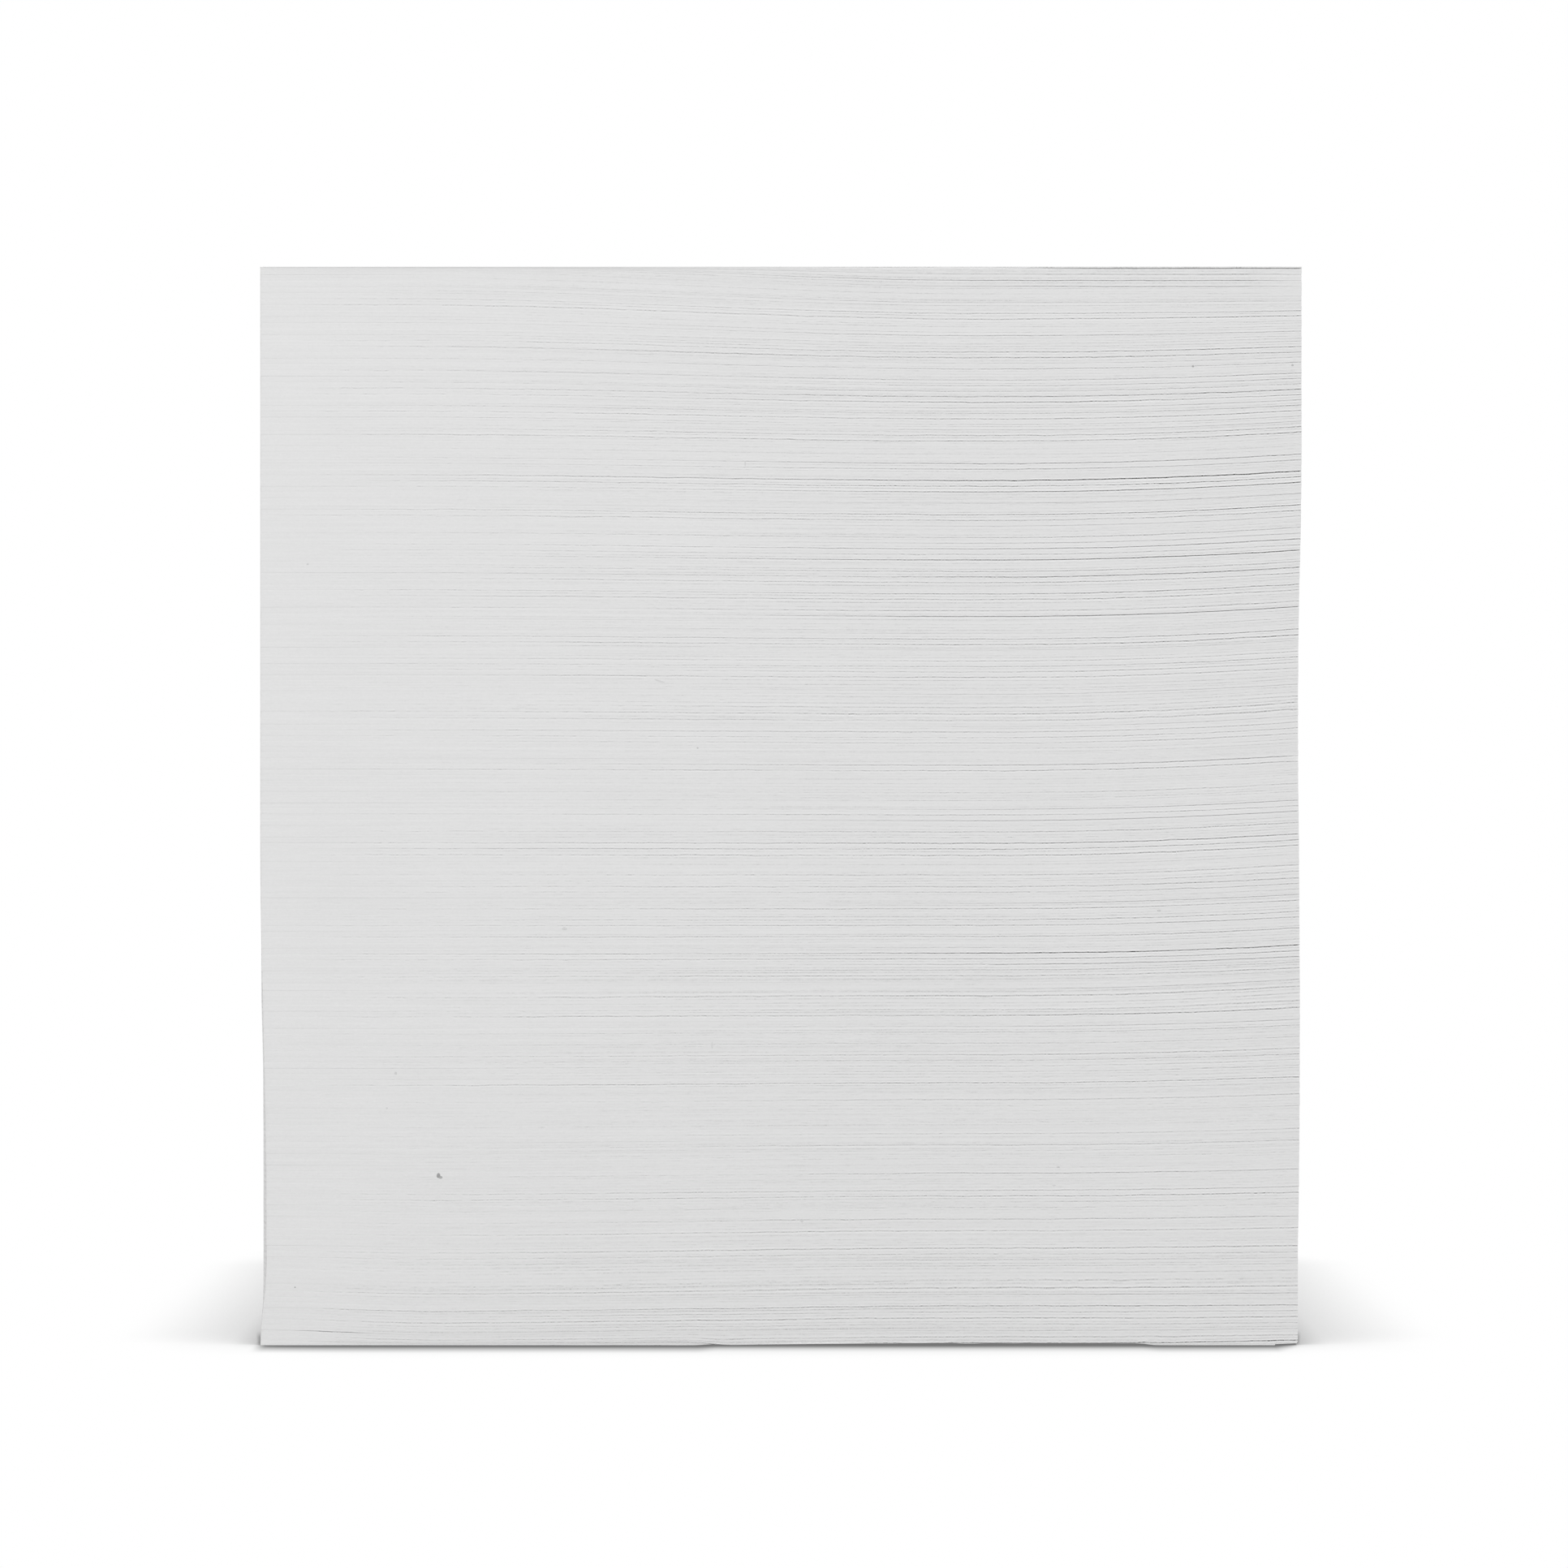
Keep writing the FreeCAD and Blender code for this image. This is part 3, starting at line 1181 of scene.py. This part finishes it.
@dataclass
class SheetBlock:
    """All the sheets under the top one, each a thin slab of its own, in a few tall lifts."""

    block: BlockSize
    lie: SheetLie
    corner: PressedCorner
    loose: LooseEdge
    edge: Material
    face: Material
    lifts: int = 4
    foot_sheets: int = 10
    cuts: SheetCuts = SheetCuts(front=35, loose=11, glued=3)
    foot_cuts: SheetCuts = SheetCuts(front=179, loose=59, glued=3)
    loose_strips: float = 1.5
    glued_strips: float = 0.5
    thickness: float = 0.5
    short_sheets: int = 2
    short_by: float = 1.85
    glued_reach: float = 1.25
    glued_crowding: float = 1.3
    setback: float = 0.012
    by_lift: Wave = Wave(0.012, 30.0, 7.0)
    by_sheet: Wave = Wave(0.004, 12.0, 8.0)
    lean: float = 0.016
    lean_seed: float = 9.0
    lean_draw: Draw = Draw(0.4, 0.6, 1.0)
    lean_below: float = 0.5

    def build(self) -> list[Piece]:
        """Model one sheet for each lift, stack it, and settle the stack.

        Returns:
            The lifts, from the floor up.
        """
        made = [self.make_lift("sheets_foot", 0, self.foot_sheets, self.foot_cuts)]
        last = self.lie.sheets - 1
        each = SHEETS_IN_LIFT * round((last - self.foot_sheets) / self.lifts / SHEETS_IN_LIFT)
        for number in range(self.lifts):
            first = self.foot_sheets + number * each
            count = last - first if number == self.lifts - 1 else each
            made.append(self.make_lift(f"sheets_lift_{number + 1}", first, count, self.cuts))
        return made

    def make_lift(self, name: str, first: int, count: int, cuts: SheetCuts) -> Piece:
        """Model one sheet, stack it and settle the stack.

        Args:
            name: Name of the lift.
            first: Number of its first sheet, 0 on the floor.
            count: How many sheets it has.
            cuts: How finely each side is divided.

        Returns:
            The lift.
        """
        lift = self.flat_sheet(name, first, cuts)
        pick(lift)
        pile = lift.modifiers.new("pile", "ARRAY")
        pile.count = count
        pile.use_relative_offset = False
        pile.use_constant_offset = True
        pile.constant_offset_displace = (0.0, 0.0, self.lie.pitch * MM)
        bpy.ops.object.modifier_apply(modifier=pile.name)
        self.lie_down(lift.data)
        finish_paper(lift.data, self.edge, self.face)
        return lift

    def flat_sheet(self, name: str, number: int, cuts: SheetCuts) -> Piece:
        """Model one flat sheet at its place in the even stack, its edges divided where they will bend.

        Args:
            name: Name of the sheet.
            number: Number of the sheet, 0 on the floor.
            cuts: How finely each side is divided.

        Returns:
            The sheet.
        """
        start, end = self.block.sheet_start, self.block.high[X]
        middle = (number + 0.5) * self.lie.pitch
        half = 0.5 * self.thickness * self.lie.pitch
        low = (start, self.block.low[Y], middle - half)
        sheet = add_slab(name, low, (end, self.block.high[Y], middle + half))
        strip = (end - start) / (cuts.front + 1)
        cut_edges(sheet, X, cuts.front)
        cut_edges(sheet, Y, cuts.loose, (end - self.loose_strips * strip, math.inf))
        cut_edges(sheet, Y, cuts.glued, (-math.inf, start + self.glued_strips * strip))
        return sheet

    def lie_down(self, mesh: bpy.types.Mesh) -> None:
        """Move the flat sheets to where they really lie, and number their lines.

        Args:
            mesh: The stack of flat sheets.
        """
        block, corner, lie = self.block, self.corner, self.lie
        x, y, z = vertex_places(mesh).T
        start, end = block.sheet_start, block.high[X]
        sheet = np.floor(z / lie.pitch)
        is_top = z / lie.pitch - sheet > 0.5
        line = sheet + is_top
        lie.mark_lines(mesh, Spots(line, x, y))
        on_front, on_back = y < block.low[Y] + ON_SIDE, y > block.high[Y] - ON_SIDE
        on_glued, on_loose = x < start + ON_SIDE, x > end - ON_SIDE
        share = np.clip((y - block.front) / block.depth, 0.0, 1.0)
        crowded = block.front + self.glued_reach * corner.reach * share ** self.glued_crowding
        y = np.where(on_glued & ~on_front & ~on_back, crowded, y)
        height = lie.line_height(Spots(line, x, y))
        loose = end - self.loose.inset(height) - np.where(sheet < self.short_sheets, self.short_by, 0.0)
        behind = y - block.front
        glued = block.low[X] + corner.film_at(behind, block.film) + corner.inset(behind, height)
        inner = start + (x - start) * (loose - start) / (end - start)
        at = Spots(line, np.where(on_glued, glued, np.where(on_loose, loose, inner)), y)
        height = lie.line_height(at) + lie.corner_rise(at, sheet >= self.short_sheets)
        half_gap = np.where(line == 0, 0.0, np.where(is_top, -0.5, 0.5) * lie.gap(at))
        back_in = self.setback_of(sheet, is_top, at.run)
        x = at.x - np.where(on_loose, back_in, 0.0)
        y = at.y + np.where(on_front, back_in, 0.0) - np.where(on_back, back_in, 0.0)
        place_vertices(mesh, x, y, height + half_gap)

    def setback_of(self, sheet: Array, is_top: Array, run: Array) -> Array:
        """How far a sheet's edge stands back from the block's face.

        Args:
            sheet: Number of the sheet.
            is_top: Whether the place is on its upper face.
            run: Place along the edge.

        Returns:
            The setback, never less than 0.
        """
        lift = np.floor(sheet / SHEETS_IN_LIFT)
        in_lift = np.mod(sheet, SHEETS_IN_LIFT)
        tilt = self.lean * self.lean_draw.of(dice(lift, 0.0, self.lean_seed))
        leaning = np.where(is_top & (in_lift == SHEETS_IN_LIFT - 1), tilt, 0.0)
        leaning = leaning + np.where(~is_top & (in_lift == 0), self.lean_below * tilt, 0.0)
        uneven = self.by_lift.at(run, lift) + self.by_sheet.at(run, sheet)
        return np.clip(self.setback + uneven + leaning, 0.0, None)


@dataclass
class TopSheet:
    """The top sheet: the blank face that is written on, slightly cockled inside its straight edges."""

    block: BlockSize
    lie: SheetLie
    edge: Material
    face: Material
    cuts: int = 29
    thickness: float = 0.1
    least: float = 0.02
    cockle: float = 0.06
    cockle_rim: Ramp = Ramp(0.0, 14.0)
    waves_across: Wave = Wave(0.25, 21.0, 13.0)
    waves_deep: Wave = Wave(0.25, 27.0, 14.0)
    slants: Pair = (0.6, 0.4)

    def build(self) -> Piece:
        """Model the sheet.

        Returns:
            The sheet.
        """
        low = (self.block.sheet_start, self.block.low[Y], self.block.high[Z] - self.thickness)
        high = self.block.high
        sheet = add_slab("top_sheet", low, high)
        cut_edges(sheet, X, self.cuts)
        cut_edges(sheet, Y, self.cuts)
        x, y, z = vertex_places(sheet.data).T
        is_top = z > high[Z] - 0.5 * self.thickness
        foot = Spots(np.full_like(x, float(self.lie.sheets - 1)), x, y)
        under = self.lie.line_height(foot) + 0.5 * self.lie.gap(foot)
        rim = np.minimum(np.minimum(x - low[X], high[X] - x), np.minimum(y - low[Y], high[Y] - y))
        wave = self.waves_across.at(x + self.slants[0] * y) + self.waves_deep.at(y - self.slants[1] * x)
        dip = self.cockle * (self.waves_across.swing + self.waves_deep.swing + wave) * self.cockle_rim.at(rim)
        flat = np.where(is_top, high[Z], np.minimum(under, high[Z] - self.least))
        place_vertices(sheet.data, x, y, flat - dip)
        self.lie.mark_lines(sheet.data, Spots(foot.line + is_top, x, y))
        finish_paper(sheet.data, self.edge, self.face)
        return sheet


@dataclass
class GlueFilm:
    """The skin of padding glue down the glued side, with the sheet edges showing through it.

    Its columns crowd towards the front, where it is pushed in: their places are an even share of the depth
    and the cube of that share, mixed.
    """

    block: BlockSize
    corner: PressedCorner
    finish: Material
    rows: int = 187
    columns: int = 30
    even_columns: float = 0.35
    prints: Wave = Wave(0.006, 0.9, 21.0)
    strokes: Wave = Wave(0.010, 3.1, 23.0)
    stroke_waver: Wave = Wave(1.24, 40.0, 22.0)
    relief_ramp: Ramp = Ramp(0.0, 2.0)

    def build(self) -> Piece:
        """Model the film.

        Returns:
            The film.
        """
        block, start = self.block, self.block.sheet_start
        film = add_slab("glue_film", block.low, (start, block.high[Y], block.high[Z]))
        cut_edges(film, Y, self.columns - 1)
        cut_edges(film, Z, self.rows - 1)
        x, y, z = vertex_places(film.data).T
        share = (y - block.front) / block.depth
        behind = block.depth * (self.even_columns * share + (1.0 - self.even_columns) * share ** 3)
        y = block.front + behind
        relief = self.prints.swing + self.prints.at(z)
        relief = relief + self.strokes.swing + self.strokes.at(y + self.stroke_waver.at(z))
        inner = block.low[X] + self.corner.film_at(behind, block.film)
        x = np.where(x < start - 0.5 * block.film, x + relief * self.relief_ramp.at(behind), inner)
        place_vertices(film.data, x + self.corner.inset(behind, z), y, z)
        film.data.materials.append(self.finish)
        return film


@dataclass(frozen=True)
class Fleck:
    """One fleck in the front face.

    Across and up are its place from the glued side and from the floor, wide and tall its half sizes, tone its
    level as a share of the paper's, and slope the angle in degrees by which it falls to the right.
    """

    across: float
    up: float
    wide: float
    tall: float
    tone: float
    slope: float = 0.0


@dataclass
class Flecks:
    """The grey flecks caught in the cut edges of the front face, and one short scuff."""

    block: BlockSize
    finish: Material
    marks: tuple[Fleck, ...] = tuple(Fleck(*each) for each in (
        (15.40, 14.66, 0.18, 0.22, 0.46), (15.58, 14.50, 0.17, 0.14, 0.56),
        (80.60, 84.60, 0.11, 0.10, 0.52), (89.20, 84.70, 0.11, 0.11, 0.66), (3.00, 5.00, 0.09, 0.08, 0.62),
        (37.80, 51.60, 0.10, 0.09, 0.74), (39.05, 26.02, 0.09, 0.46, 0.88),
        (41.90, 76.20, 0.06, 0.24, 0.84), (26.30, 36.00, 0.26, 0.15, 0.86),
        (46.80, 10.76, 0.20, 0.20, 0.84), (77.66, 37.56, 0.19, 0.10, 0.79),
        (34.50, 57.40, 0.55, 0.08, 0.87, 18.0), (4.10, 67.50, 0.14, 0.12, 0.84),
        (11.70, 23.50, 0.12, 0.13, 0.81), (10.95, 20.50, 0.11, 0.09, 0.85),
        (68.60, 13.80, 0.25, 0.08, 0.84), (68.95, 15.40, 0.17, 0.06, 0.76),
        (62.25, 33.00, 0.65, 0.13, 0.88, -14.0), (61.40, 32.68, 0.24, 0.07, 0.60),
        (62.15, 32.72, 1.05, 0.06, 1.09, -15.0)))
    sunk: float = 0.03
    roundness: int = 3

    def build(self) -> Piece:
        """Model the flecks as small flattened lumps, half sunk in the face.

        Returns:
            All the flecks, one object.
        """
        pick(*[self.lump(mark) for mark in self.marks])
        bpy.ops.object.join()
        flecks = settle(bpy.context.object, "paper_flecks")
        flecks.data.materials.append(self.finish)
        return flecks

    def lump(self, mark: Fleck) -> Piece:
        """Model one fleck, with its full tone in the middle and the paper's own at its rim.

        Args:
            mark: The fleck.

        Returns:
            The lump.
        """
        place = (self.block.low[X] + mark.across, self.block.front + self.sunk, mark.up)
        size = (mark.wide, self.sunk, mark.tall)
        drop_selection()
        bpy.ops.mesh.primitive_ico_sphere_add(subdivisions=self.roundness, radius=1.0,
                                              location=[v * MM for v in place],
                                              rotation=(0.0, math.radians(mark.slope), 0.0),
                                              scale=[v * MM for v in size])
        lump = bpy.context.object
        unit = vertex_places(lump.data) * MM
        from_middle = np.hypot(unit[:, X], unit[:, Z])
        mark_vertices(lump.data, TONE_ATTRIBUTE, 1.0 - (1.0 - mark.tone) * ease(1.0 - from_middle))
        return settle(lump, "fleck")


# --- Studio ---


def near(place: float, span: Pair) -> Pair:
    """A span that is given from a place on."""
    return place + span[0], place + span[1]


@dataclass(frozen=True)
class StudioFloor(Finish):
    """Plain pale floor that looks white and keeps the soft shadow round the foot of the object.

    The pairs for behind, left, right, start and end are places from the block's face there, between which
    a band fades. The arch's span is in shares of the width.
    """

    name: ClassVar[str] = "studio_floor"
    block: BlockSize
    pale: float = 0.82
    soft_reach: float = 16.0
    soft_lean: float = -16.0
    soft_depth: float = 0.77
    soft_power: float = 0.95
    soft_faint: float = 0.052
    close_reach: float = 7.8
    close_depth: float = 0.555
    close_behind: Pair = (1.0, 5.0)
    close_left: Pair = (-0.70, 0.70)
    close_right: Pair = (-1.22, 0.18)
    arch_span: Pair = (0.43, 0.853)
    arch_step: Pair = (-1.0, 1.0)
    arch_light: float = 1.5
    after_light: float = 0.4
    end_light: float = 5.5
    end_run: float = 2.4
    side_depth: float = 0.27
    side_slant: float = 0.10
    side_left: Pair = (-0.31, 0.02)
    side_right: Pair = (-0.46, -0.16)
    side_start: Pair = (0.5, 3.0)
    side_end: Pair = (6.0, 14.0)
    touch_reach: float = 3.0
    touch_depth: float = 0.34
    darkest: float = 0.18
    sky_samples: int = 16

    def hidden(self, board: NodeBoard, reach: float, lean: float = 0.0) -> Signal:
        """How much of the light the object hides from a point on the floor.

        Args:
            board: The material's nodes.
            reach: How far away the object still counts.
            lean: Angle in degrees by which the light comes from behind the object, below 0 from before it.

        Returns:
            The hidden share.
        """
        tilt = math.radians(lean)
        upward = board.add("CombineXYZ", {}, {"Y": math.sin(tilt), "Z": math.cos(tilt)})
        return 1.0 - board.add("AmbientOcclusion", {"samples": self.sky_samples},
                               {"Distance": reach * MM, "Normal": upward}, "AO")

    def close_shadow(self, board: NodeBoard) -> Signal:
        """The dark band before the front foot, which turns a little way back along both sides.

        Args:
            board: The material's nodes.

        Returns:
            The share of light it takes.
        """
        left, right, front = self.block.low[X], self.block.high[X], self.block.front
        x, y = board.along("X"), board.along("Y")
        begin, end = (near(left + share * (right - left), self.arch_step) for share in self.arch_span)
        lit = board.fit(x, begin, (0.0, self.arch_light), Fade.SMOOTH)
        lit = lit - board.fit(x, end, (0.0, self.arch_light - self.after_light), Fade.SMOOTH)
        lit = lit + board.fit(x, (right - self.end_run, right), (0.0, self.end_light))
        before = board.fit(y - lit, (front - self.close_reach, front), (0.0, self.close_depth), Fade.SMOOTH)
        behind = board.fit(y, near(front, self.close_behind), (1.0, 0.0), Fade.SMOOTH)
        from_left = board.fit(x, near(left, self.close_left), (0.0, 1.0), Fade.SMOOTH)
        from_right = board.fit(x, near(right, self.close_right), (1.0, 0.0), Fade.SMOOTH)
        return before * behind * (from_left * from_right)

    def side_shadow(self, board: NodeBoard) -> Signal:
        """The narrow dark line along the foremost part of both sides' feet.

        Args:
            board: The material's nodes.

        Returns:
            The share of light it takes.
        """
        left, right, front = self.block.low[X], self.block.high[X], self.block.front
        x, y = board.along("X"), board.along("Y")
        spread = (y - front) * self.side_slant
        from_left = board.fit(x + spread, near(left, self.side_left), (0.0, 1.0))
        from_right = board.fit(x - spread, near(right, self.side_right), (1.0, 0.0))
        begins = board.fit(y, near(front, self.side_start), (0.0, self.side_depth), Fade.SMOOTH)
        ends = board.fit(y, near(front, self.side_end), (1.0, 0.0), Fade.SMOOTH)
        return begins * ends * (from_left * from_right)

    def surface(self, board: NodeBoard) -> Signal:
        """Lay out the nodes: matte and pale for the light, white with a contact shadow for the view.

        Args:
            board: The material's nodes.

        Returns:
            The shader.
        """
        soft = board.math("POWER", self.hidden(board, self.soft_reach, self.soft_lean), self.soft_power)
        soft = soft * self.soft_depth - self.soft_faint
        wide = soft + (self.close_shadow(board) + self.side_shadow(board))
        shadow = board.math("MAXIMUM", wide, 0.0) + self.hidden(board, self.touch_reach) * self.touch_depth
        strength = board.math("MAXIMUM", 1.0 - shadow, self.darkest)
        seen = board.add("Emission", {}, {"Color": WHITE, "Strength": strength})
        matte = board.add("BsdfDiffuse", {}, {"Color": (self.pale, self.pale, self.pale, 1.0)})
        return board.seen_or_lighting(seen, matte)


@dataclass
class Studio:
    """Floor, light and camera."""

    block: BlockSize
    floor_size: float = 6000.0
    camera_distance: float = 500.0
    camera_aside: float = 0.26
    camera_height: float = 48.5
    camera_clip: Pair = (0.01, 100.0)
    frame_width: float = 135.5
    sensor: float = 36.0
    sky: float = 0.808
    key_power: float = 1.53
    key_place: Triple = (-250.0, -650.0, 560.0)
    key_size: float = 450.0

    def build(self) -> None:
        """Set up everything round the object."""
        self.floor()
        self.world()
        self.key_light()
        self.camera()
        bpy.context.scene.view_settings.view_transform = "Standard"

    def floor(self) -> None:
        """Lay the floor."""
        drop_selection()
        place = (0.0, 0.0, self.block.low[Z] * MM)
        bpy.ops.mesh.primitive_plane_add(size=self.floor_size * MM, location=place)
        floor = settle(bpy.context.object, "studio_floor")
        floor.data.materials.append(StudioFloor(self.block).material())

    def world(self) -> None:
        """Even soft light from all round, which itself looks white."""
        world = bpy.data.worlds.new("studio_light")
        bpy.context.scene.world = world
        world.use_nodes = True
        board = NodeBoard(world.node_tree)
        light = board.add("Background", {}, {"Color": WHITE, "Strength": self.sky})
        seen = board.add("Background", {}, {"Color": WHITE, "Strength": 1.0})
        board.add("OutputWorld", {}, {"Surface": board.seen_or_lighting(seen, light)})

    def key_light(self) -> None:
        """Hang one large soft light in front, above and to the left."""
        drop_selection()
        bpy.ops.object.light_add(type="AREA", location=[v * MM for v in self.key_place])
        key = bpy.context.object
        key.name = "key_softbox"
        key.data.shape = "SQUARE"
        key.data.size = self.key_size * MM
        key.data.energy = self.key_power
        aim = np.array([0.0, 0.0, 0.5 * self.block.height]) - np.array(self.key_place)
        side = math.atan2(aim[Y], aim[X]) - math.pi / 2.0
        tip = math.atan2(math.hypot(aim[X], aim[Y]), -aim[Z])
        key.rotation_euler = (tip, 0.0, side)

    def camera(self) -> None:
        """Stand the camera level in front of the front face."""
        drop_selection()
        place = (self.camera_aside, self.block.front - self.camera_distance, self.camera_height)
        bpy.ops.object.camera_add(location=[v * MM for v in place], rotation=(math.pi / 2.0, 0.0, 0.0))
        camera = bpy.context.object
        camera.name = "camera"
        camera.data.sensor_width = self.sensor
        camera.data.lens = self.sensor * self.camera_distance / self.frame_width
        camera.data.clip_start, camera.data.clip_end = self.camera_clip
        bpy.context.scene.camera = camera


def dress(piece: Piece, node: str) -> None:
    """Give a piece its place in the model.

    Args:
        piece: The new piece.
        node: The CAD node it stands for.
    """
    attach(piece, "root")
    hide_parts(node)
    log.info("%s: %d faces", piece.name, len(piece.data.polygons))


def main() -> None:
    """Build the block, piece by piece, and the studio round it."""
    logging.basicConfig(level=logging.INFO, format="%(name)s: %(message)s")
    block = BlockSize.from_frame()
    corner = PressedCorner()
    lie = SheetLie(block)
    edge = CutPaperEdge().material()
    face = PaperFace().material()
    for lift in SheetBlock(block, lie, corner, LooseEdge(), edge, face).build():
        dress(lift, "sheet_block")
    dress(TopSheet(block, lie, edge, face).build(), "sheet_block")
    dress(GlueFilm(block, corner, DriedGlue().material()).build(), "padding_glue")
    dress(Flecks(block, FleckFinish().material()).build(), "sheet_block")
    Studio(block).build()
    drop_selection()


if __name__ == "__main__":
    main()
